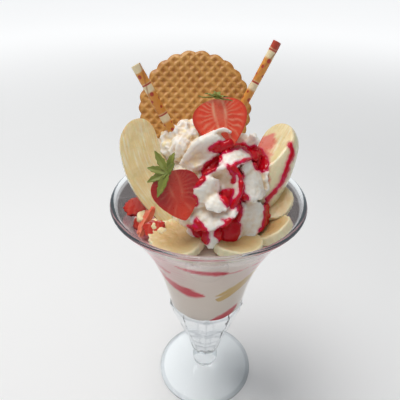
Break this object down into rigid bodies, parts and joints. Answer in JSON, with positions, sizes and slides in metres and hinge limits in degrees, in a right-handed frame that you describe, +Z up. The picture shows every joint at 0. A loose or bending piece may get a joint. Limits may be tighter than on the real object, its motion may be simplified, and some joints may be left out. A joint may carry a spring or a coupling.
{
  "type": "ice cream sundae",
  "caption": "Ice cream sundae in a tall footed glass: ice cream and whipped cream under banana, strawberries, a round waffle and rolled wafers.",
  "frame": {"origin": "centre of the glass foot's flat underside", "axes": "+Z up along the glass axis; the sundae's front faces -Y and +X is to its right"},
  "size_m": [0.124, 0.124, 0.2682],
  "materials": {
    "glass": "clear pressed glass, polished, with cut panels under the bowl",
    "ice_cream": "pale vanilla ice cream streaked with strawberry sauce",
    "whipped_cream": "soft whipped cream with strawberry sauce on it",
    "banana": "moist cut banana",
    "banana_coin": "moist banana slice with a paler rim",
    "strawberry": "cut strawberry, wet, darker skin with seeds",
    "strawberry_piece": "chopped strawberry in sauce",
    "leaf": "thin green leaf",
    "rolled_wafer": "crisp rolled wafer with plain printed rings and dots",
    "waffle": "baked golden brown waffle"
  },
  "bodies": {
    "root": {"banana_coin_front_left": "banana_coin", "banana_coin_front_right": "banana_coin", "banana_coin_in_glass": "banana_coin", "banana_coin_right": "banana_coin", "banana_coin_right_low": "banana_coin", "banana_half_left": "banana", "banana_half_right": "banana", "calyx_front": "leaf", "calyx_top": "leaf", "glass": "glass", "ice_cream": "ice_cream", "strawberry_half_front": "strawberry", "strawberry_half_top": "strawberry", "strawberry_piece_back": "strawberry_piece", "strawberry_piece_front": "strawberry_piece", "strawberry_piece_low": "strawberry_piece", "strawberry_piece_slice": "strawberry_piece", "wafer_stick_left": "rolled_wafer", "wafer_stick_right": "rolled_wafer", "waffle_disc": "waffle", "whipped_cream": "whipped_cream"}
  },
  "joints": []
}
